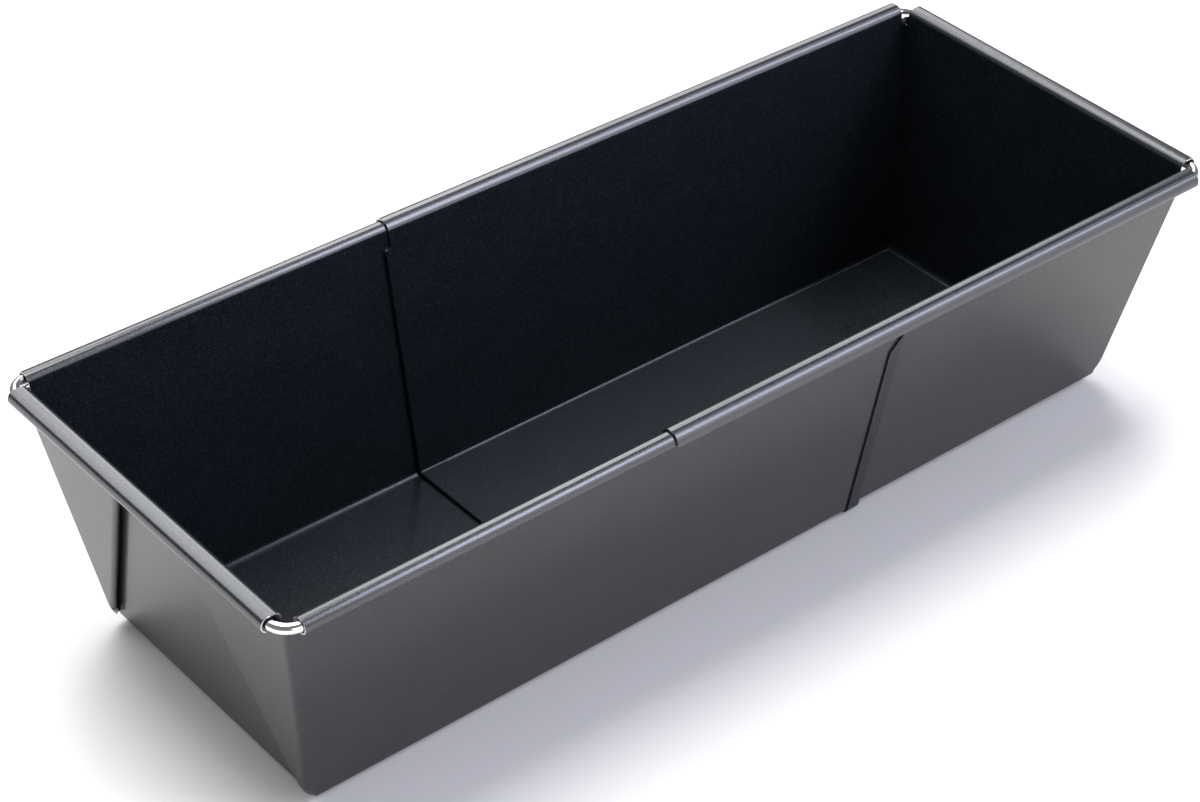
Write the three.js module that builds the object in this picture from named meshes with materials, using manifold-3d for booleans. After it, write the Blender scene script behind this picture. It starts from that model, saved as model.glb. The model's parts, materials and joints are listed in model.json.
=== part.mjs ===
// Extendable loaf tin: two folded steel trays that slide one inside the other, each with a wire in its rim.
// Millimetres, +Z up, the slide runs along X. The tin stands on the hem under the outer tray's open edge.

import * as THREE from 'three';
import { mergeVertices } from 'three/addons/utils/BufferGeometryUtils.js';
import Module from 'manifold-3d';

const wasm = await Module();
wasm.setup();

// Driving dimensions, in millimetres
const sheet = 0.4; // steel sheet of both trays
const slideGap = 0.3; // clearance between the trays
const baseWidth = 86; // outer tray's floor, outside
const trayLength = 179.5; // floor of each tray, from its end wall to its open edge
const overlap = 84.9; // how far one floor lies over the other as drawn
const rimHeight = 72.6; // centre of the rim wires above the table
const bend = 2; // inside radius of the bends round the floor
const wireDiameter = 2.8; // rim wire
const wireFit = 0.3; // clearance between a wire and the sheet rolled round it
const wireBend = 5.5; // centre-line radius of the wire's corners
const wireGrip = 10; // how far the inner tray's wire reaches into its side rolls
const cornerSetback = 5.7; // bare length of rim beside each corner, from the corner of the wires
const sideLip = 0.6; // flat top of the side rolls
const endLip = 1.2; // flat top of the end rolls
const endRollPlay = 0.25; // extra radius of the end rolls
const rollSetback = 2.2; // cut between the inner tray's open edge and its side rolls
const flapLowGap = 1.5; // air behind a folded corner flap at its corner, beside the floor
const flapHighGap = 0.4; // and under the rim
const flapFoot = 3; // how far the flap's fold stays above its corner
const flapTip = 0.8; // width of a corner flap at the floor
const hemGap = 0.1; // air inside a folded hem
const outerHem = 4.3; // width of the hem folded outwards on the outer tray's open edge
const outerHemDrop = 6.4; // from the middle of the rim down to that hem
const innerHem = 9; // width of the hem folded inwards on the inner tray's open edge
const innerHemDrop = 4.3; // from the middle of the rim down to that hem
const hemMitre = 5.8; // slanted cut at a hem's upper end

// Driving angles
const sideLean = THREE.MathUtils.degToRad(10.5); // side walls off the vertical
const endLean = THREE.MathUtils.degToRad(9.9); // end walls off the vertical
const outerRollEnd = THREE.MathUtils.degToRad(-100); // free edge of a roll, from straight out
const innerRollEnd = THREE.MathUtils.degToRad(-20);
const endRollEnd = THREE.MathUtils.degToRad(-62);
const flapSpread = THREE.MathUtils.degToRad(1.4); // how far a corner flap springs off its wall
const arcStep = THREE.MathUtils.degToRad(15); // facets of the round stretches

// Sizes that follow from them
const nest = sheet + slideGap; // from the outer tray's sheet to the inner tray's
const hemThickness = sheet + hemGap; // what a hem adds to the sheet
const wireRadius = wireDiameter / 2;
const sideRoll = sheet + wireFit + wireRadius; // outside radius of the outer tray's side rolls
const endRoll = sideRoll + endRollPlay;
const outsideBend = bend + sheet;
const cornerTop = rimHeight - endRoll - wireFit; // the sheet stops here beside the bare wire
const flapThickness = 2 * sheet;
const cornerRound = 3 * sheet; // outside radius of the folds between the side walls and their flaps
const beyond = baseWidth + trayLength; // clear of everything, for cuts

// A wall is a floor that bends up, leans outwards and ends in an outward roll with a flat top.
// Depth runs from the sheet's outside face inwards, so nested walls share one description.
const sideWall = { foot: baseWidth / 2, floor: hemThickness, lean: sideLean, roll: sideRoll, lip: sideLip };
const outerEnd = { foot: 0, floor: hemThickness, lean: endLean, roll: endRoll, lip: endLip };
const innerEnd = { foot: 0, floor: hemThickness + nest, lean: endLean, roll: endRoll, lip: endLip };

function arc(centre, radius, from, to) {
  const steps = Math.ceil(Math.abs(to - from) / arcStep);
  return Array.from({ length: steps + 1 }, (_, i) => {
    const angle = from + ((to - from) * i) / steps;
    return new THREE.Vector2(centre.x + radius * Math.cos(angle), centre.y + radius * Math.sin(angle));
  });
}

// Outward place of a wall's face at a height
function faceAt(wall, depth, height) {
  return wall.foot + (height - wall.floor) * Math.tan(wall.lean) - depth / Math.cos(wall.lean);
}

function bendCentre(wall) {
  const height = wall.floor + outsideBend;
  return new THREE.Vector2(faceAt(wall, outsideBend, height), height);
}

// A roll turns about two centres: the first beside the wall, the second at the wire, a lip further out
function rollStart(wall) {
  return new THREE.Vector2(faceAt(wall, sheet - wall.roll, rimHeight), rimHeight);
}

function wireCentre(wall) {
  return new THREE.Vector2(rollStart(wall).x + wall.lip, rimHeight);
}

function bendPoints(wall, depth) {
  return arc(bendCentre(wall), outsideBend - depth, -Math.PI / 2, -wall.lean);
}

function rollPoints(wall, depth, end) {
  const radius = wall.roll - sheet + depth;
  const rise = arc(rollStart(wall), radius, Math.PI - wall.lean, Math.PI / 2);
  return [...rise, ...arc(wireCentre(wall), radius, Math.PI / 2, end)];
}

// The face of a wall from its bend to its free edge: a roll's end angle, or a plain height
function rolledFace(wall, depth, end) {
  return [...bendPoints(wall, depth), ...rollPoints(wall, depth, end)];
}

function plainFace(wall, depth, height) {
  return [...bendPoints(wall, depth), new THREE.Vector2(faceAt(wall, depth, height), height)];
}

function mirrored(points) {
  return points.map((p) => new THREE.Vector2(-p.x, p.y)).reverse();
}

// A sheet across the whole tray, between the outside and inside faces of one half
function channelShape(outside, inside) {
  const back = [...mirrored(inside), ...inside].reverse();
  return new THREE.Shape([...mirrored(outside), ...outside, ...back]);
}

// Solids and their places
const acrossTray = new THREE.Matrix4().makeBasis(
  new THREE.Vector3(0, 1, 0),
  new THREE.Vector3(0, 0, 1),
  new THREE.Vector3(1, 0, 0),
);
const alongTray = new THREE.Matrix4().makeBasis(
  new THREE.Vector3(-1, 0, 0),
  new THREE.Vector3(0, 0, 1),
  new THREE.Vector3(0, 1, 0),
);

function solid(geometry) {
  geometry.deleteAttribute('normal');
  geometry.deleteAttribute('uv');
  const merged = mergeVertices(geometry, 1e-5);
  const mesh = new wasm.Mesh({
    numProp: 3,
    vertProperties: new Float32Array(merged.attributes.position.array),
    triVerts: new Uint32Array(merged.index.array),
  });
  return new wasm.Manifold(mesh);
}

function geometryOf(body) {
  const mesh = body.getMesh();
  const geometry = new THREE.BufferGeometry();
  geometry.setAttribute('position', new THREE.BufferAttribute(new Float32Array(mesh.vertProperties), 3));
  geometry.setIndex(new THREE.BufferAttribute(new Uint32Array(mesh.triVerts), 1));
  geometry.computeVertexNormals();
  return geometry;
}

// A section across the tray, drawn out along X
function alongX(shape, from, to) {
  const geometry = new THREE.ExtrudeGeometry(shape, { depth: to - from, bevelEnabled: false });
  geometry.applyMatrix4(acrossTray);
  geometry.translate(from, 0, 0);
  return solid(geometry);
}

// A section along the tray, drawn out along Y; its first coordinate runs out past the end wall
function alongY(shape, from, to) {
  const geometry = new THREE.ExtrudeGeometry(shape, { depth: to - from, bevelEnabled: false });
  geometry.applyMatrix4(alongTray);
  geometry.translate(0, from, 0);
  return solid(geometry);
}

// A solid between two outlines that match point by point, counter-clockwise from above
function loft(lower, upper) {
  const count = lower.length;
  const outline = lower.map((p) => new THREE.Vector2(p.x, p.y));
  const index = [];
  for (const face of THREE.ShapeUtils.triangulateShape(outline, [])) {
    const clockwise = THREE.ShapeUtils.isClockWise(face.map((i) => outline[i]));
    const [a, b, c] = clockwise ? face.toReversed() : face;
    index.push(c, b, a, a + count, b + count, c + count);
  }
  for (let i = 0; i < count; i += 1) {
    const next = (i + 1) % count;
    index.push(i, next, next + count, i, next + count, i + count);
  }
  const geometry = new THREE.BufferGeometry().setFromPoints([...lower, ...upper]);
  geometry.setIndex(index);
  return solid(geometry);
}

function box(minimum, maximum) {
  const size = maximum.clone().sub(minimum);
  const geometry = new THREE.BoxGeometry(size.x, size.y, size.z);
  const middle = minimum.clone().add(maximum).multiplyScalar(0.5);
  geometry.translate(middle.x, middle.y, middle.z);
  return solid(geometry);
}

// Everything inside a side wall's face at a depth
function insideSides(depth) {
  const face = plainFace(sideWall, depth, beyond);
  return alongX(new THREE.Shape([...mirrored(face), ...face]), -beyond, beyond);
}

// Outward place of a corner flap's front at its corner, between the floor's bends and the rim
function heelHeight(end) {
  return end.floor + outsideBend;
}

function flapFront(end, height) {
  const gap = THREE.MathUtils.mapLinear(height, heelHeight(end), cornerTop, flapLowGap, flapHighGap);
  return faceAt(end, -gap - flapThickness, height);
}

// Floor and side walls of a tray with their rolls, cut to meet the end wall and the corner flaps
function makeChannel(end, depth, rollEnd) {
  const shape = channelShape(rolledFace(sideWall, depth, rollEnd), rolledFace(sideWall, depth + sheet, rollEnd));
  const heel = heelHeight(end);
  const rollStop = wireCentre(end).x - cornerSetback;
  const trim = new THREE.Shape([
    new THREE.Vector2(-beyond, 0),
    new THREE.Vector2(bendCentre(end).x, 0),
    ...bendPoints(end, sheet / 2),
    new THREE.Vector2(flapFront(end, heel) - cornerRound, heel),
    new THREE.Vector2(flapFront(end, cornerTop) - cornerRound, cornerTop),
    new THREE.Vector2(rollStop, cornerTop),
    new THREE.Vector2(rollStop, beyond),
    new THREE.Vector2(-beyond, beyond),
  ]);
  return alongX(shape, -beyond, trayLength).intersect(alongY(trim, -beyond, beyond));
}

// End wall with its bend, a strip of floor and its roll, let into the side walls
function makeEnd(end, depth) {
  const outside = rolledFace(end, 0, endRollEnd);
  const inside = rolledFace(end, sheet, endRollEnd);
  const strip = bendCentre(end).x - outsideBend;
  const shape = new THREE.Shape([
    new THREE.Vector2(strip, end.floor),
    ...outside,
    ...inside.reverse(),
    new THREE.Vector2(strip, end.floor + sheet),
  ]);
  const rollHalf = wireCentre(sideWall).x - cornerSetback;
  const wall = alongY(shape, -beyond, beyond).intersect(insideSides(depth + sheet / 2));
  const farCorner = box(new THREE.Vector3(-beyond, rollHalf, cornerTop), new THREE.Vector3(beyond, beyond, beyond));
  return wall.subtract(farCorner).subtract(farCorner.mirror([0, 1, 0]));
}

// Corner flap: the spare sheet of a corner, folded double and laid against the outside of the end wall.
// The spare sheet spans what the two walls' sloping edges leave of a right angle.
const edgeLean = Math.atan(Math.tan(sideLean) * Math.cos(endLean));
const sideEdgeLean = Math.atan(Math.tan(endLean) * Math.cos(sideLean));
const foldLean = (Math.PI / 2 - edgeLean - sideEdgeLean) / 2 - edgeLean;

// A corner's outline: along the side wall, round the corner, along the flap to its fold, and back
function cornerOutline(end, depth, height, foldHeight) {
  const outside = faceAt(sideWall, depth, height);
  const inside = faceAt(sideWall, depth + sheet, height);
  const front = flapFront(end, height);
  const start = front - 2 * cornerRound;
  const centre = new THREE.Vector2(front - cornerRound, outside - cornerRound);
  const climb = (foldHeight - end.floor) / Math.cos(endLean);
  const foldPlace = faceAt(sideWall, depth, end.floor) - flapTip - climb * Math.tan(foldLean);
  const foldSpring = (faceAt(sideWall, depth, foldHeight) - foldPlace) * Math.tan(flapSpread);
  const foldFront = flapFront(end, foldHeight) + foldSpring;
  return [
    new THREE.Vector3(-start, outside, height),
    ...arc(centre, cornerRound, Math.PI / 2, 0).map((p) => new THREE.Vector3(-p.x, p.y, height)),
    new THREE.Vector3(-foldFront, foldPlace, foldHeight),
    new THREE.Vector3(flapThickness - foldFront, foldPlace, foldHeight),
    new THREE.Vector3(flapThickness - front, inside, height),
    new THREE.Vector3(-start, inside, height),
  ];
}

function makeFlap(end, depth) {
  const heel = heelHeight(end);
  return loft(cornerOutline(end, depth, heel, heel + flapFoot), cornerOutline(end, depth, cornerTop, cornerTop));
}

// Hem: the open edge folded over on itself, round the floor and both side walls
function makeHem(depth, outwards, width, top) {
  const flapDepth = outwards ? depth - hemThickness : depth + sheet + hemGap;
  const foldDepth = outwards ? flapDepth : depth;
  const foldThickness = sheet + hemThickness;
  const flap = channelShape(plainFace(sideWall, flapDepth, top), plainFace(sideWall, flapDepth + sheet, top));
  const fold = channelShape(
    plainFace(sideWall, foldDepth, top),
    plainFace(sideWall, foldDepth + foldThickness, top),
  );
  const mitre = new THREE.Shape([
    new THREE.Vector2(sheet - trayLength, top),
    new THREE.Vector2(width - trayLength, top - hemMitre),
    new THREE.Vector2(beyond, top - hemMitre),
    new THREE.Vector2(beyond, beyond),
    new THREE.Vector2(sheet - trayLength, beyond),
  ]);
  return alongX(flap, trayLength - width, trayLength)
    .subtract(alongY(mitre, -beyond, beyond))
    .add(alongX(fold, trayLength - sheet, trayLength));
}

// Cut that lets the inner tray's side rolls start clear of its hem
function makeRollCut() {
  return box(
    new THREE.Vector3(trayLength - rollSetback, -beyond, rimHeight - innerHemDrop),
    new THREE.Vector3(beyond, beyond, beyond),
  );
}

function makeTray(end, depth, rollEnd, hem) {
  const flap = makeFlap(end, depth);
  return makeChannel(end, depth, rollEnd)
    .add(makeEnd(end, depth))
    .add(flap)
    .add(flap.mirror([0, 1, 0]))
    .add(hem);
}

// Rim wire: its stations are spaced by shape, not by length, so straight runs take one step
class RimWirePath extends THREE.Curve {
  constructor(points, tangents) {
    super();
    this.points = points;
    this.tangents = tangents;
  }

  stationAt(u) {
    return Math.round(u * (this.points.length - 1));
  }

  getPointAt(u) {
    return this.points[this.stationAt(u)].clone();
  }

  getTangentAt(u) {
    return this.tangents[this.stationAt(u)].clone();
  }
}

function makeWire(end, grip) {
  const reach = wireCentre(end).x;
  const side = wireCentre(sideWall).x;
  const legEnd = cornerSetback - reach + grip;
  const points = [];
  const tangents = [];
  const addStation = (x, y, heading) => {
    points.push(new THREE.Vector3(x, y, rimHeight));
    tangents.push(new THREE.Vector3(Math.cos(heading), Math.sin(heading), 0));
  };
  const steps = Math.ceil(Math.PI / 2 / arcStep);
  addStation(legEnd, side, Math.PI);
  for (const hand of [1, -1]) {
    const centre = new THREE.Vector2(wireBend - reach, hand * (side - wireBend));
    for (let i = 0; i <= steps; i += 1) {
      const quarter = hand > 0 ? Math.PI / 2 : Math.PI;
      const angle = quarter + ((Math.PI / 2) * i) / steps;
      addStation(
        centre.x + wireBend * Math.cos(angle),
        centre.y + wireBend * Math.sin(angle),
        angle + Math.PI / 2,
      );
    }
  }
  addStation(legEnd, -side, 0);
  const circle = new THREE.Shape(arc(new THREE.Vector2(0, 0), wireRadius, 0, 2 * Math.PI).slice(0, -1));
  const extrudePath = new RimWirePath(points, tangents);
  return new THREE.ExtrudeGeometry(circle, { steps: points.length - 1, extrudePath });
}

// Finishes
const coatedSteel = new THREE.MeshStandardMaterial({ color: 0x5c5b5e, roughness: 0.42, metalness: 0.75 });
const brightWire = new THREE.MeshStandardMaterial({ color: 0xc9cbd0, roughness: 0.18, metalness: 1 });

function named(name, geometry, material) {
  const mesh = new THREE.Mesh(geometry, material);
  mesh.name = name;
  return mesh;
}

const outerHalf = new THREE.Group();
const outwardHem = makeHem(0, true, outerHem, rimHeight - outerHemDrop);
const outerBody = makeTray(outerEnd, 0, outerRollEnd, outwardHem);
const outerGrip = trayLength - wireFit + wireCentre(outerEnd).x - cornerSetback;
outerHalf.add(named('outer_tray', geometryOf(outerBody), coatedSteel));
outerHalf.add(named('outer_rim_wire', makeWire(outerEnd, outerGrip), brightWire));

const innerHalf = new THREE.Group();
const inwardHem = makeHem(nest, false, innerHem, rimHeight - innerHemDrop);
const innerBody = makeTray(innerEnd, nest, innerRollEnd, inwardHem).subtract(makeRollCut());
innerHalf.add(named('inner_tray', geometryOf(innerBody), coatedSteel.clone()));
innerHalf.add(named('inner_rim_wire', makeWire(innerEnd, wireGrip), brightWire.clone()));
innerHalf.rotation.z = Math.PI;
innerHalf.position.x = 2 * trayLength - overlap;

// The origin lies under the middle of the tin, between the two end rolls
function rimReach(end) {
  return wireCentre(end).x + end.roll;
}

const tin = new THREE.Group();
tin.add(outerHalf, innerHalf);
tin.position.x = (rimReach(outerEnd) - rimReach(innerEnd) - innerHalf.position.x) / 2;

export default tin;
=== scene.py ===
# Extendable loaf tin: two folded and coated steel trays, one sliding in the other, with a wire in each rim.
# Lengths are in millimetres until a mesh is made, and follow the CAD model's own sizes and frame.
# Only the floor and the materials' patterns are in metres.

import json
import math
from collections import namedtuple

import bmesh
import bpy
from mathutils import Euler, Matrix, Vector

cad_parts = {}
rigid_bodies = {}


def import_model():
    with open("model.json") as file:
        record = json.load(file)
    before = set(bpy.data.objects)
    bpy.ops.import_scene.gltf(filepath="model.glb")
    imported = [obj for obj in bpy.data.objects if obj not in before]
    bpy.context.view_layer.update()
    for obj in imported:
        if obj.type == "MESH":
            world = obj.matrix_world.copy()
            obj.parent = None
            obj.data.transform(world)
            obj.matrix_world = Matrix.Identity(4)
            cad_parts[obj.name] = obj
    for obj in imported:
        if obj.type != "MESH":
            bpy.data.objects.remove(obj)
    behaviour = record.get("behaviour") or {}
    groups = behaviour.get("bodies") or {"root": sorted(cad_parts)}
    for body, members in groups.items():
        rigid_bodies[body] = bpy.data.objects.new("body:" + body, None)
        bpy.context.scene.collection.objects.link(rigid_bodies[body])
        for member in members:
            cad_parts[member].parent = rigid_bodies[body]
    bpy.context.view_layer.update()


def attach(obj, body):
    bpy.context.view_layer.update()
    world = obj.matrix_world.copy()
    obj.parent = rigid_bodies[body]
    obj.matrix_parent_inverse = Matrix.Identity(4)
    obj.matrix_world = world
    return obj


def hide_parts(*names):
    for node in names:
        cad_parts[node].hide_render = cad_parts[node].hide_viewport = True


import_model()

MM = 0.001

# Sizes shared with the CAD model
SHEET = 0.4
SLIDE_GAP = 0.3
BASE_WIDTH = 86.0
TRAY_LENGTH = 179.5
OVERLAP = 84.9
RIM_HEIGHT = 72.6
BEND = 2.0
WIRE_RADIUS = 1.4
WIRE_FIT = 0.28  # 0.3 in the CAD model; the smoother rolls stay inside its box this way
WIRE_BEND = 5.5
WIRE_GRIP = 10.0
CORNER_SETBACK = 4.9  # 5.7 in the CAD model
SIDE_LIP = 0.6
END_LIP = 1.2
END_ROLL_PLAY = 0.25
ROLL_SETBACK = 2.2
FLAP_LOW_GAP = 1.5
FLAP_HIGH_GAP = 0.4
FLAP_FOOT = 3.0
FLAP_TIP = -0.6  # 0.8 in the CAD model; here the fold runs out into the corner above the floor
HEM_GAP = 0.1
OUTER_HEM = 4.3
OUTER_HEM_DROP = 6.4
INNER_HEM = 9.0
INNER_HEM_DROP = 4.3
HEM_MITRE = 5.8
SIDE_LEAN = math.radians(10.5)
END_LEAN = math.radians(9.9)
OUTER_ROLL_END = math.radians(-100)
INNER_ROLL_END = math.radians(-20)
END_ROLL_END = math.radians(-62)
FLAP_SPREAD = math.radians(1.4)

# Facets of the round stretches, finer than in the CAD model
ARC_STEP = math.radians(5)
WIRE_SIDES = 32

# Edges that turn by more than this stay sharp in the shading
TRAY_CREASE = math.radians(30)
WIRE_CREASE = math.radians(40)

# Sizes that follow from those above, and those of the finer forms
NEST = SHEET + SLIDE_GAP
HEM_THICKNESS = SHEET + HEM_GAP
SIDE_ROLL = SHEET + WIRE_FIT + WIRE_RADIUS
END_ROLL = SIDE_ROLL + END_ROLL_PLAY
OUTSIDE_BEND = BEND + SHEET
CORNER_TOP = RIM_HEIGHT - END_ROLL - WIRE_FIT
FLAP_THICKNESS = 2 * SHEET
CORNER_ROUND = 4 * SHEET
CORNER_RISE = 1.9
CORNER_LAP = SHEET / 4
FOLD_ROUND = 2.2 * SHEET
FOLD_SWEEP = 5 * SHEET
FOLD_SWEEP_SHARE = 0.8
FLAP_TUCK = 3 * SHEET
FLAP_TUCK_RISE = 4.0
FLAP_TUCK_STEPS = 4
HEM_ROUND = (SHEET + HEM_THICKNESS) / 2
BEYOND = BASE_WIDTH + TRAY_LENGTH

# The coating's gloss: its refractive index, and the roughness of its sharp and its hazy patches
OUTSIDE_GLOSS = (1.5, 0.08, 0.42)
INSIDE_GLOSS = (1.4, 0.08, 0.42)
ROLL_GLOSS = (1.8, 0.07, 0.34)

# Patterns of the materials: repeats per metre, then each bump's height in metres and its strength
WAVE_SCALE = 22.0
CLOUD_SCALE = 60.0
GRAIN_SCALE = 2800.0
HAZE_SCALE = 9000.0
FLAKE_SCALE = 6000.0
PLAIN_SHARE = 0.92  # Share of the surface without flakes
HAZE_EDGES = (0.38, 0.62)
WAVE_BUMP = (0.0002, 0.35)
GRAIN_BUMP = (0.00004, 0.1)
LINE_BUMP = (0.00001, 0.2)

# Material slots of a tray's mesh
OUTSIDE, INSIDE, CUT, ROLL = range(4)

Wall = namedtuple("Wall", "foot floor lean roll lip")
SIDE_WALL = Wall(BASE_WIDTH / 2, HEM_THICKNESS, SIDE_LEAN, SIDE_ROLL, SIDE_LIP)
OUTER_END = Wall(0.0, HEM_THICKNESS, END_LEAN, END_ROLL, END_LIP)
INNER_END = Wall(0.0, HEM_THICKNESS + NEST, END_LEAN, END_ROLL, END_LIP)


# Profiles: pairs of an outward place and a height, with depth running from the sheet's outside face inwards
def arc(centre, radius, start, stop):
    steps = math.ceil(abs(stop - start) / ARC_STEP)
    angles = [start + (stop - start) * i / steps for i in range(steps + 1)]
    return [(centre[0] + radius * math.cos(a), centre[1] + radius * math.sin(a)) for a in angles]


def face_at(wall, depth, height):
    return wall.foot + (height - wall.floor) * math.tan(wall.lean) - depth / math.cos(wall.lean)


def bend_centre(wall):
    height = wall.floor + OUTSIDE_BEND
    return face_at(wall, OUTSIDE_BEND, height), height


def roll_start(wall):
    return face_at(wall, SHEET - wall.roll, RIM_HEIGHT), RIM_HEIGHT


def wire_centre(wall):
    return roll_start(wall)[0] + wall.lip, RIM_HEIGHT


def bend_points(wall, depth):
    return arc(bend_centre(wall), OUTSIDE_BEND - depth, -math.pi / 2, -wall.lean)


def rolled_face(wall, depth, end):
    radius = wall.roll - SHEET + depth
    rise = arc(roll_start(wall), radius, math.pi - wall.lean, math.pi / 2)
    turn = arc(wire_centre(wall), radius, math.pi / 2, end)
    return bend_points(wall, depth) + rise + turn


def plain_face(wall, depth, height):
    return bend_points(wall, depth) + [(face_at(wall, depth, height), height)]


def across(half):
    """A half profile and its mirror image, from the left free edge to the right one."""
    return [(-y, z) for y, z in reversed(half)] + half


# Materials
def feed(tree, socket, value):
    if isinstance(value, bpy.types.NodeSocket):
        tree.links.new(value, socket)
    else:
        socket.default_value = value


def node(tree, kind, sockets=None, **settings):
    """A new node with its settings made and its sockets set or linked."""
    made = tree.nodes.new(kind)
    for key, value in settings.items():
        setattr(made, key, value)
    for key, value in (sockets or {}).items():
        feed(tree, made.inputs[key], value)
    return made


def noise(tree, place, scale, detail):
    sockets = {"Vector": place, "Scale": scale, "Detail": detail}
    return node(tree, "ShaderNodeTexNoise", sockets).outputs["Fac"]


def spread(tree, value, low, high, start=0.0, stop=1.0):
    """Stretches a value that runs from low to high so that it runs from start to stop."""
    ends = {"Value": value, "From Min": low, "From Max": high, "To Min": start, "To Max": stop}
    return node(tree, "ShaderNodeMapRange", ends).outputs["Result"]


def mix(tree, share, first, second):
    sockets = {"Factor": share, "A": first, "B": second}
    return node(tree, "ShaderNodeMix", sockets, data_type="RGBA").outputs["Result"]


def calculate(tree, operation, *values):
    return node(tree, "ShaderNodeMath", dict(enumerate(values)), operation=operation).outputs["Value"]


def raise_by(tree, height, distance, strength, under=None):
    sockets = {"Height": height, "Distance": distance, "Strength": strength}
    if under:
        sockets["Normal"] = under
    return node(tree, "ShaderNodeBump", sockets).outputs["Normal"]


def new_material(name):
    material = bpy.data.materials.new(name)
    material.use_nodes = True
    tree = material.node_tree
    return material, tree, tree.nodes["Principled BSDF"]


def coat(name, low, high, flake, tint, gloss):
    """Dark baked coating: slow unevenness, a fine grain, small flakes, and a sharp gloss with some haze."""
    material, tree, shader = new_material(name)
    place = node(tree, "ShaderNodeTexCoord").outputs["Object"]
    wave = noise(tree, place, WAVE_SCALE, 1.0)
    cloud = noise(tree, place, CLOUD_SCALE, 3.0)
    grain = noise(tree, place, GRAIN_SCALE, 2.0)
    haze = noise(tree, place, HAZE_SCALE, 1.0)
    cells = node(tree, "ShaderNodeTexVoronoi", {"Vector": place, "Scale": FLAKE_SCALE}).outputs["Color"]
    chance = node(tree, "ShaderNodeSeparateColor", {"Color": cells}).outputs["Red"]
    flakes = calculate(tree, "GREATER_THAN", chance, PLAIN_SHARE)
    uneven = calculate(tree, "MULTIPLY_ADD", grain, 0.5, cloud)
    tone = mix(tree, spread(tree, uneven, 0.5, 1.0), (*low, 1), (*high, 1))
    feed(tree, shader.inputs["Base Color"], mix(tree, flakes, tone, (*flake, 1)))
    index, sharp, hazy = gloss
    feed(tree, shader.inputs["Roughness"], spread(tree, haze, *HAZE_EDGES, sharp, hazy))
    shader.inputs["IOR"].default_value = index
    shader.inputs["Specular Tint"].default_value = (*tint, 1)
    slow = raise_by(tree, wave, *WAVE_BUMP)
    feed(tree, shader.inputs["Normal"], raise_by(tree, grain, *GRAIN_BUMP, slow))
    return material


def bare_metal(name, low, high, roughness, stretch):
    """Uncoated steel with drawing or cutting lines. stretch is their number per metre along each axis."""
    material, tree, shader = new_material(name)
    place = node(tree, "ShaderNodeTexCoord").outputs["Object"]
    drawn = node(tree, "ShaderNodeMapping", {"Vector": place, "Scale": stretch}).outputs["Vector"]
    lines = noise(tree, drawn, 1.0, 3.0)
    feed(tree, shader.inputs["Base Color"], mix(tree, lines, (*low, 1), (*high, 1)))
    feed(tree, shader.inputs["Roughness"], spread(tree, lines, 0.0, 1.0, roughness * 0.7, roughness * 1.3))
    shader.inputs["Metallic"].default_value = 1.0
    feed(tree, shader.inputs["Normal"], raise_by(tree, lines, *LINE_BUMP))
    return material


# Low, high and flake colours of the coating
OUTSIDE_TONES = ((0.015, 0.0145, 0.015), (0.021, 0.0205, 0.021), (0.06, 0.059, 0.06))
INSIDE_TONES = ((0.0058, 0.0082, 0.0112), (0.0082, 0.0117, 0.016), (0.034, 0.04, 0.048))
outside_coat = coat("outside_coat", *OUTSIDE_TONES, (1, 0.975, 0.99), OUTSIDE_GLOSS)
inside_coat = coat("inside_coat", *INSIDE_TONES, (0.95, 0.97, 1), INSIDE_GLOSS)
rim_coat = coat("rim_coat", *INSIDE_TONES, (0.97, 0.98, 1), ROLL_GLOSS)
cut_steel = bare_metal("cut_steel", (0.42, 0.41, 0.4), (0.6, 0.59, 0.57), 0.34, (900, 900, 900))
bright_wire = bare_metal("bright_wire", (0.78, 0.78, 0.79), (0.86, 0.86, 0.87), 0.15, (300, 300, 2600))

TRAY_FINISH = (outside_coat, inside_coat, cut_steel, rim_coat)
WIRE_FINISH = (bright_wire,)


# Solids
def solid(name, rings, sides, caps=CUT, finish=TRAY_FINISH):
    """A closed mesh through rings of points. sides gives the material slots of the strips between rings."""
    count = len(rings[0])
    mesh = bpy.data.meshes.new(name)
    for material in finish:
        mesh.materials.append(material)
    faces = []
    slots = []
    for lower in range(len(rings) - 1):
        for i in range(count):
            j = (i + 1) % count
            a, b = lower * count, (lower + 1) * count
            faces.append((a + i, a + j, b + j, b + i))
            slots.append(sides[i])
    last = (len(rings) - 1) * count
    faces += [tuple(reversed(range(count))), tuple(range(last, last + count))]
    slots += [caps, caps]
    mesh.from_pydata([Vector(p) * MM for ring in rings for p in ring], [], faces)
    mesh.polygons.foreach_set("material_index", slots)
    shape = bmesh.new()
    shape.from_mesh(mesh)
    bmesh.ops.recalc_face_normals(shape, faces=shape.faces)
    shape.to_mesh(mesh)
    shape.free()
    made = bpy.data.objects.new(name, mesh)
    bpy.context.scene.collection.objects.link(made)
    return made


def strip_slots(outside_count, inside_count, rolled, rims):
    """Slots round a section: along the outside face, and back along the inside face from a rolled rim."""
    inside = [INSIDE] * (inside_count - 1)
    inside[:rolled] = [ROLL] * rolled
    if rims == 2:
        inside[-rolled:] = [ROLL] * rolled
    return [OUTSIDE] * (outside_count - 1) + [CUT] + inside + [CUT]


def roll_strips(wall, depth, end):
    return len(rolled_face(wall, depth, end)) - len(bend_points(wall, depth)) - 1


def along_x(name, section, start, stop, sides):
    return solid(name, [[(x, y, z) for y, z in section] for x in (start, stop)], sides)


def along_y(name, section, start, stop, sides=None):
    """The section's first coordinate runs out past the end wall."""
    sides = sides or [CUT] * len(section)
    return solid(name, [[(-out, y, z) for out, z in section] for y in (start, stop)], sides)


def box(name, low, high):
    ring = [(low[0], low[1]), (high[0], low[1]), (high[0], high[1]), (low[0], high[1])]
    return solid(name, [[(x, y, z) for x, y in ring] for z in (low[2], high[2])], [CUT] * 4)


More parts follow.
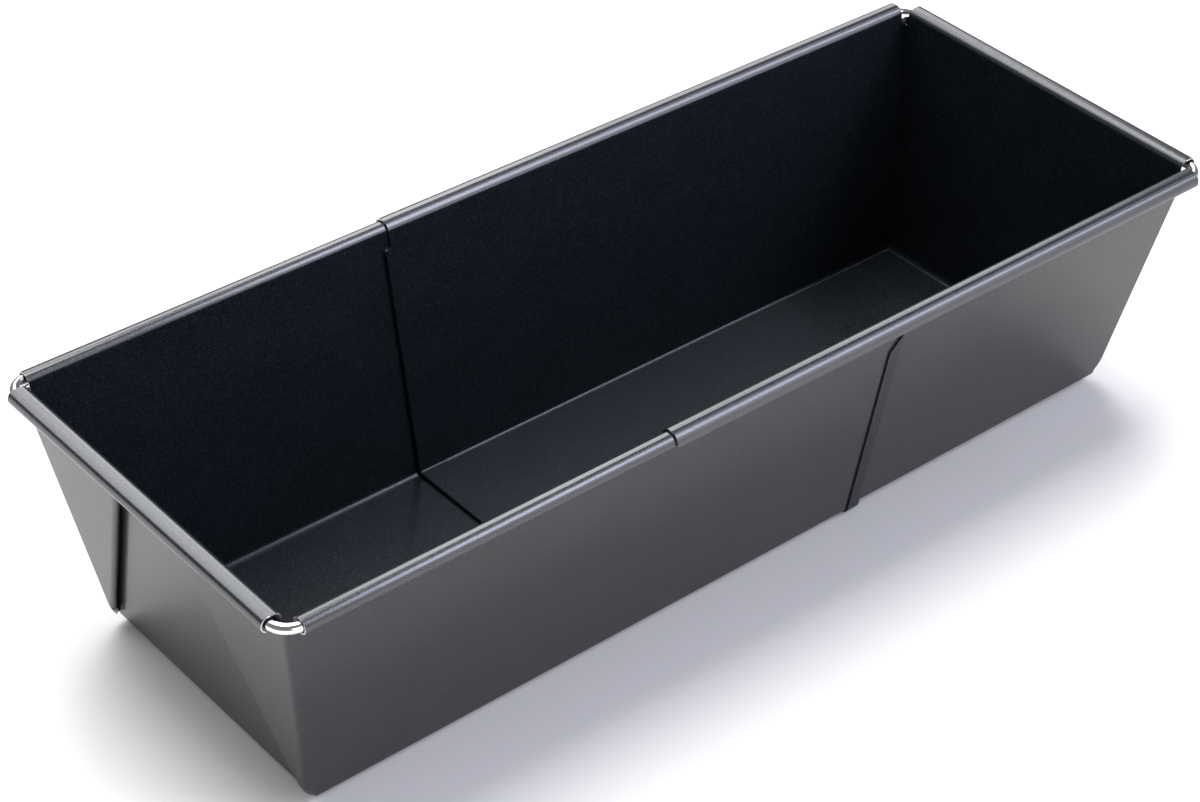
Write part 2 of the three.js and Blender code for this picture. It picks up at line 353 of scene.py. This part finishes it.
def mirrored(name, made):
    copy = bpy.data.objects.new(name, made.data.copy())
    copy.data.transform(Matrix.Diagonal((1, -1, 1, 1)))
    copy.data.flip_normals()
    bpy.context.scene.collection.objects.link(copy)
    return copy


def combine(base, operation, other):
    step = base.modifiers.new(operation.title(), "BOOLEAN")
    step.operation = operation
    step.solver = "MANIFOLD"
    step.object = other


# Corners: the spare sheet is folded double and laid against the outside of the end wall
EDGE_LEAN = math.atan(math.tan(SIDE_LEAN) * math.cos(END_LEAN))
SIDE_EDGE_LEAN = math.atan(math.tan(END_LEAN) * math.cos(SIDE_LEAN))
FOLD_LEAN = (math.pi / 2 - EDGE_LEAN - SIDE_EDGE_LEAN) / 2 - EDGE_LEAN


def heel_height(end):
    return end.floor + OUTSIDE_BEND


def flap_front(end, height):
    share = (height - heel_height(end)) / (CORNER_TOP - heel_height(end))
    gap = FLAP_LOW_GAP + (FLAP_HIGH_GAP - FLAP_LOW_GAP) * share
    tuck = FLAP_TUCK * max(0.0, 1 - (height - heel_height(end)) / FLAP_TUCK_RISE) ** 2
    return face_at(end, tuck - gap - FLAP_THICKNESS, height)


def corner_outline(end, depth, height, fold_height):
    outside = face_at(SIDE_WALL, depth, height)
    inside = face_at(SIDE_WALL, depth + SHEET, height)
    front = flap_front(end, height)
    start = front - 2 * CORNER_ROUND
    climb = (fold_height - end.floor) / math.cos(END_LEAN)
    fold_place = face_at(SIDE_WALL, depth, end.floor) - FLAP_TIP - climb * math.tan(FOLD_LEAN)
    spring = (face_at(SIDE_WALL, depth, fold_height) - fold_place) * math.tan(FLAP_SPREAD)
    fold_middle = flap_front(end, fold_height) + spring - FOLD_ROUND
    corner = arc((front - CORNER_ROUND, outside - CORNER_ROUND), CORNER_ROUND, math.pi / 2, 0)
    sweep = min(FOLD_SWEEP, FOLD_SWEEP_SHARE * (outside - CORNER_ROUND - fold_place))
    half_turn = arc((0, 0), 1, 0, -math.pi)
    fold = [(fold_middle + FOLD_ROUND * x, fold_place + sweep * (1 + y)) for x, y in half_turn]
    return (
        [(-start, outside, height)]
        + [(-x, y, height) for x, y in corner]
        + [(-x, y, fold_height) for x, y in fold]
        + [(FLAP_THICKNESS - front, inside, height), (-start, inside, height)]
    )


def make_flap(name, end, depth):
    heel = heel_height(end)
    rings = []
    for step in range(FLAP_TUCK_STEPS + 1):
        rise = step / FLAP_TUCK_STEPS
        height = heel + rise * FLAP_TUCK_RISE
        rings.append(corner_outline(end, depth, height, height + FLAP_FOOT * (1 - rise)))
    rings.append(corner_outline(end, depth, CORNER_TOP, CORNER_TOP))
    sides = [OUTSIDE] * (len(rings[0]) - 2) + [INSIDE, CUT]
    return solid(name, rings, sides)


def make_corner(name, end, depth):
    """Strip of sheet that rounds a corner between the ends of its rolls and rises just inside the wire."""
    side_stop = wire_centre(end)[0] - CORNER_SETBACK + CORNER_LAP
    end_stop = wire_centre(SIDE_WALL)[0] - CORNER_SETBACK + CORNER_LAP
    rings = []
    for height in (CORNER_TOP - CORNER_ROUND, CORNER_TOP + CORNER_RISE):
        outside = face_at(SIDE_WALL, depth, height)
        front = flap_front(end, height)
        centre = (front - CORNER_ROUND, outside - CORNER_ROUND)
        outer = [(side_stop, outside)] + arc(centre, CORNER_ROUND, math.pi / 2, 0) + [(front, end_stop)]
        inner = arc(centre, CORNER_ROUND - SHEET, math.pi / 2, 0)
        inner = [(side_stop, outside - SHEET)] + inner + [(front - SHEET, end_stop)]
        rings.append([(-x, y, height) for x, y in outer + inner[::-1]])
    sides = [OUTSIDE] * (len(outer) - 1) + [CUT] + [INSIDE] * (len(inner) - 1) + [CUT]
    return solid(name, rings, sides)


def make_channel(name, end, depth, roll_end):
    outside = across(rolled_face(SIDE_WALL, depth, roll_end))
    inside = across(rolled_face(SIDE_WALL, depth + SHEET, roll_end))
    sides = strip_slots(len(outside), len(inside), roll_strips(SIDE_WALL, depth + SHEET, roll_end), 2)
    channel = along_x(name, outside + inside[::-1], -BEYOND, TRAY_LENGTH - HEM_ROUND, sides)
    heel = heel_height(end)
    corner_low = (flap_front(end, heel) - CORNER_ROUND, heel)
    corner_high = (flap_front(end, CORNER_TOP) - CORNER_ROUND, CORNER_TOP)
    roll_stop = wire_centre(end)[0] - CORNER_SETBACK
    trim = along_y(
        name + "_trim",
        [(-BEYOND, 0), (bend_centre(end)[0], 0)]
        + bend_points(end, SHEET / 2)
        + [corner_low, corner_high, (roll_stop, CORNER_TOP), (roll_stop, BEYOND), (-BEYOND, BEYOND)],
        -BEYOND,
        BEYOND,
    )
    combine(channel, "INTERSECT", trim)
    return channel


def make_end(name, end, depth):
    outside = rolled_face(end, 0, END_ROLL_END)
    inside = rolled_face(end, SHEET, END_ROLL_END)
    strip = bend_centre(end)[0] - OUTSIDE_BEND
    section = [(strip, end.floor)] + outside + inside[::-1] + [(strip, end.floor + SHEET)]
    sides = strip_slots(len(outside) + 1, len(inside) + 1, roll_strips(end, SHEET, END_ROLL_END), 1)
    wall = along_y(name, section, -BEYOND, BEYOND, sides)
    face = across(plain_face(SIDE_WALL, depth + SHEET / 2, BEYOND))
    combine(wall, "INTERSECT", along_x(name + "_sides", face, -BEYOND, BEYOND, [CUT] * len(face)))
    roll_half = wire_centre(SIDE_WALL)[0] - CORNER_SETBACK
    corner = box(name + "_corner", (-BEYOND, roll_half, CORNER_TOP), (BEYOND, BEYOND, BEYOND))
    combine(wall, "DIFFERENCE", corner)
    combine(wall, "DIFFERENCE", mirrored(name + "_other_corner", corner))
    return wall


def make_hem(name, depth, outwards, width, top):
    """The open edge folded over on itself: a layer, a round fold and the end of the sheet it belongs to."""
    turn = -1 if outwards else 1
    middle = depth + SHEET / 2 + turn * (SHEET + HEM_GAP) / 2
    fold_x = TRAY_LENGTH - HEM_ROUND
    outer = arc((fold_x, middle), HEM_ROUND, turn * math.pi / 2, -turn * math.pi / 2)
    inner = arc((fold_x, middle), HEM_GAP / 2, -turn * math.pi / 2, turn * math.pi / 2)
    layer_out = (TRAY_LENGTH - width, middle + turn * HEM_ROUND)
    layer_in = (TRAY_LENGTH - width, middle + turn * HEM_GAP / 2)
    root_out = (fold_x - SHEET, middle - turn * HEM_ROUND)
    root_in = (fold_x - SHEET, middle - turn * HEM_GAP / 2)
    section = [layer_out] + outer + [root_out, root_in] + inner + [layer_in]
    stations = [across(plain_face(SIDE_WALL, deep, top)) for _, deep in section]
    rings = [[(x, *stations[k][i]) for k, (x, _) in enumerate(section)] for i in range(len(stations[0]))]
    hem = solid(name, rings, [INSIDE] * len(section), caps=INSIDE)
    mitre_outline = [
        (HEM_ROUND - TRAY_LENGTH, top),
        (width - TRAY_LENGTH, top - HEM_MITRE),
        (BEYOND, top - HEM_MITRE),
        (BEYOND, BEYOND),
        (HEM_ROUND - TRAY_LENGTH, BEYOND),
    ]
    mitre = along_y(name + "_mitre", mitre_outline, -BEYOND, BEYOND, [INSIDE] * len(mitre_outline))
    combine(hem, "DIFFERENCE", mitre)
    return hem


def make_tray(name, end, depth, roll_end, hem, place):
    """Joins a tray's sheet metal into one mesh and sets it in the part's frame."""
    scratch = set(bpy.data.objects)
    tray = make_channel(name, end, depth, roll_end)
    flap = make_flap(name + "_flap", end, depth)
    corner = make_corner(name + "_corner_strip", end, depth)
    combine(tray, "UNION", make_end(name + "_end", end, depth))
    for piece in (flap, corner):
        combine(tray, "UNION", piece)
        combine(tray, "UNION", mirrored(piece.name + "_other", piece))
    combine(tray, "UNION", make_hem(name + "_hem", depth, *hem))
    if end is INNER_END:
        low = (TRAY_LENGTH - ROLL_SETBACK, -BEYOND, RIM_HEIGHT - INNER_HEM_DROP)
        combine(tray, "DIFFERENCE", box(name + "_roll_cut", low, (BEYOND, BEYOND, BEYOND)))
    evaluated = tray.evaluated_get(bpy.context.evaluated_depsgraph_get())
    mesh = bpy.data.meshes.new_from_object(evaluated)
    for made in set(bpy.data.objects) - scratch:
        bpy.data.objects.remove(made)
    mesh.transform(place)
    mesh.shade_smooth()
    mesh.set_sharp_from_angle(angle=TRAY_CREASE)
    made = bpy.data.objects.new(name, mesh)
    bpy.context.scene.collection.objects.link(made)
    made.modifiers.new("Even shading", "WEIGHTED_NORMAL").keep_sharp = True
    return made


def make_wire(name, end, leg_end, place):
    reach = wire_centre(end)[0]
    side = wire_centre(SIDE_WALL)[0]
    path = [((leg_end, side), math.pi)]
    for hand in (1, -1):
        centre = (WIRE_BEND - reach, hand * (side - WIRE_BEND))
        first = math.pi / 2 if hand > 0 else math.pi
        steps = math.ceil(math.pi / 2 / ARC_STEP)
        for i in range(steps + 1):
            angle = first + math.pi / 2 * i / steps
            point = (centre[0] + WIRE_BEND * math.cos(angle), centre[1] + WIRE_BEND * math.sin(angle))
            path.append((point, angle + math.pi / 2))
    path.append(((leg_end, -side), 0.0))
    rings = []
    for (x, y), heading in path:
        ring = []
        for k in range(WIRE_SIDES):
            turn = 2 * math.pi * k / WIRE_SIDES
            sideways = WIRE_RADIUS * math.cos(turn)
            up = WIRE_RADIUS * math.sin(turn)
            ring.append((x - sideways * math.sin(heading), y + sideways * math.cos(heading), RIM_HEIGHT + up))
        rings.append(ring)
    wire = solid(name, rings, [0] * WIRE_SIDES, caps=0, finish=WIRE_FINISH)
    wire.data.transform(place)
    wire.data.shade_smooth()
    wire.data.set_sharp_from_angle(angle=WIRE_CREASE)
    return wire


# Places of the two halves, as in the CAD model
inner_shift = 2 * TRAY_LENGTH - OVERLAP
outer_shift = (wire_centre(OUTER_END)[0] - wire_centre(INNER_END)[0] - inner_shift) / 2
outer_place = Matrix.Translation((outer_shift * MM, 0, 0))
inner_place = Matrix.Translation(((outer_shift + inner_shift) * MM, 0, 0)) @ Matrix.Rotation(math.pi, 4, "Z")

outer_tray = make_tray(
    "outer_tray_sheet",
    OUTER_END,
    0.0,
    OUTER_ROLL_END,
    (True, OUTER_HEM, RIM_HEIGHT - OUTER_HEM_DROP),
    outer_place,
)
inner_tray = make_tray(
    "inner_tray_sheet",
    INNER_END,
    NEST,
    INNER_ROLL_END,
    (False, INNER_HEM, RIM_HEIGHT - INNER_HEM_DROP),
    inner_place,
)
outer_wire = make_wire("outer_wire_round", OUTER_END, TRAY_LENGTH - WIRE_FIT, outer_place)
inner_leg = CORNER_SETBACK - wire_centre(INNER_END)[0] + WIRE_GRIP
inner_wire = make_wire("inner_wire_round", INNER_END, inner_leg, inner_place)


# What stands for what, and what moves with what
for piece, cad_node, body, slot in (
    (outer_tray, "outer_tray", "outer_half", "tray_coat"),
    (outer_wire, "outer_rim_wire", "outer_half", "rim_wire"),
    (inner_tray, "inner_tray", "inner_half", "tray_coat"),
    (inner_wire, "inner_rim_wire", "inner_half", "rim_wire"),
):
    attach(piece, body)
    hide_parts(cad_node)

# Floor, set a little below the tin
FLOOR_HALF = 4.0
FLOOR_DROP = 0.0002
floor_corners = [(x * FLOOR_HALF, y * FLOOR_HALF, 0) for x, y in ((-1, -1), (1, -1), (1, 1), (-1, 1))]
floor_mesh = bpy.data.meshes.new("floor")
floor_mesh.from_pydata(floor_corners, [], [(0, 1, 2, 3)])
floor = bpy.data.objects.new("floor", floor_mesh)
floor.location.z = -FLOOR_DROP
bpy.context.scene.collection.objects.link(floor)
floor_material, _, floor_shader = new_material("floor_paper")
floor_shader.inputs["Base Color"].default_value = (0.92, 0.92, 0.92, 1)
floor_shader.inputs["Roughness"].default_value = 0.9
floor_mesh.materials.append(floor_material)

# Studio: soft lights in a dim room, each a patch of directions with soft edges
world = bpy.data.worlds.new("studio")
bpy.context.scene.world = world
world.use_nodes = True
sky = world.node_tree
looking = node(sky, "ShaderNodeTexCoord").outputs["Generated"]
towards = node(sky, "ShaderNodeSeparateXYZ", {"Vector": looking}).outputs


def patch(edges):
    """1 inside the patch and 0 outside. A direction's component crosses each edge from start to stop."""
    share = 1.0
    for axis, start, stop in edges:
        ends = {"Value": towards[axis], "From Min": start, "From Max": stop}
        edge = node(sky, "ShaderNodeMapRange", ends, interpolation_type="SMOOTHSTEP").outputs["Result"]
        share = calculate(sky, "MULTIPLY", edge, share)
    return share


ROOM = (0.21, 0.21, 0.214, 1)
# Each light is its colour and the edges of its patch
LIGHTS = (
    # Overhead
    (
        (10.2, 10.1, 9.9),
        (("X", -0.22, -0.12), ("X", 0.4, 0.34), ("Y", -0.02, 0.08), ("Y", 0.54, 0.46), ("Z", 0.3, 0.4)),
    ),
    # Behind: two level strips, one above the other, and two upright ones to their right
    (
        (4.3, 4.3, 4.3),
        (("X", -0.62, -0.5), ("X", 0.45, 0.4), ("Y", 0.6, 0.64), ("Y", 0.78, 0.74), ("Z", 0.0, 0.1)),
    ),
    (
        (4.0, 4.0, 4.0),
        (("X", -0.5, -0.4), ("X", 0.34, 0.28), ("Y", 0.46, 0.5), ("Y", 0.62, 0.58), ("Z", 0.2, 0.3)),
    ),
    (
        (5.4, 5.4, 5.5),
        (("X", 0.4, 0.44), ("X", 0.56, 0.52), ("Y", 0.48, 0.54), ("Y", 0.82, 0.76), ("Z", 0.2, 0.3)),
    ),
    (
        (3.8, 3.8, 3.9),
        (("X", 0.53, 0.57), ("X", 0.68, 0.64), ("Y", 0.48, 0.54), ("Y", 0.82, 0.76), ("Z", 0.2, 0.3)),
    ),
    # To the right, from the middle round to the front
    (
        (2.6, 2.65, 3.1),
        (("X", 0.4, 0.45), ("X", 0.73, 0.66), ("Y", 0.02, -0.06), ("Y", -0.22, -0.14), ("Z", 0.2, 0.3)),
    ),
    (
        (8.6, 8.8, 10.6),
        (("X", 0.4, 0.45), ("X", 0.56, 0.5), ("Y", -0.22, -0.32), ("Z", 0.42, 0.5)),
    ),
    (
        (5.6, 5.7, 6.8),
        (("X", 0.5, 0.56), ("X", 0.73, 0.66), ("Y", -0.26, -0.36), ("Z", 0.42, 0.5)),
    ),
    (
        (2.1, 2.1, 2.25),
        (("X", -0.4, -0.3), ("X", 0.4, 0.34), ("Y", -0.68, -0.78), ("Z", 0.1, 0.2), ("Z", 0.6, 0.5)),
    ),
    (
        (2.2, 2.2, 2.5),
        (("X", 0.4, 0.45), ("X", 0.73, 0.66), ("Y", -0.46, -0.54), ("Z", 0.5, 0.42), ("Z", 0.0, 0.04)),
    ),
)
glow = ROOM
for light, edges in LIGHTS:
    glow = mix(sky, patch(edges), glow, (*light, 1))
feed(sky, sky.nodes["Background"].inputs["Color"], glow)

# Camera, fitted to the straight edges of the photograph
camera_data = bpy.data.cameras.new("camera")
camera_data.sensor_width = 36
camera_data.lens = 88.6
camera_data.shift_x = -0.0837
camera_data.shift_y = 0.0123
camera = bpy.data.objects.new("camera", camera_data)
camera.location = Vector((-414.36, -478.79, 505.34)) * MM
camera.rotation_euler = Euler([math.radians(a) for a in (52.9075, -1.804, -41.0288)], "XYZ")
bpy.context.scene.collection.objects.link(camera)
bpy.context.scene.camera = camera
bpy.context.scene.view_settings.view_transform = "Standard"
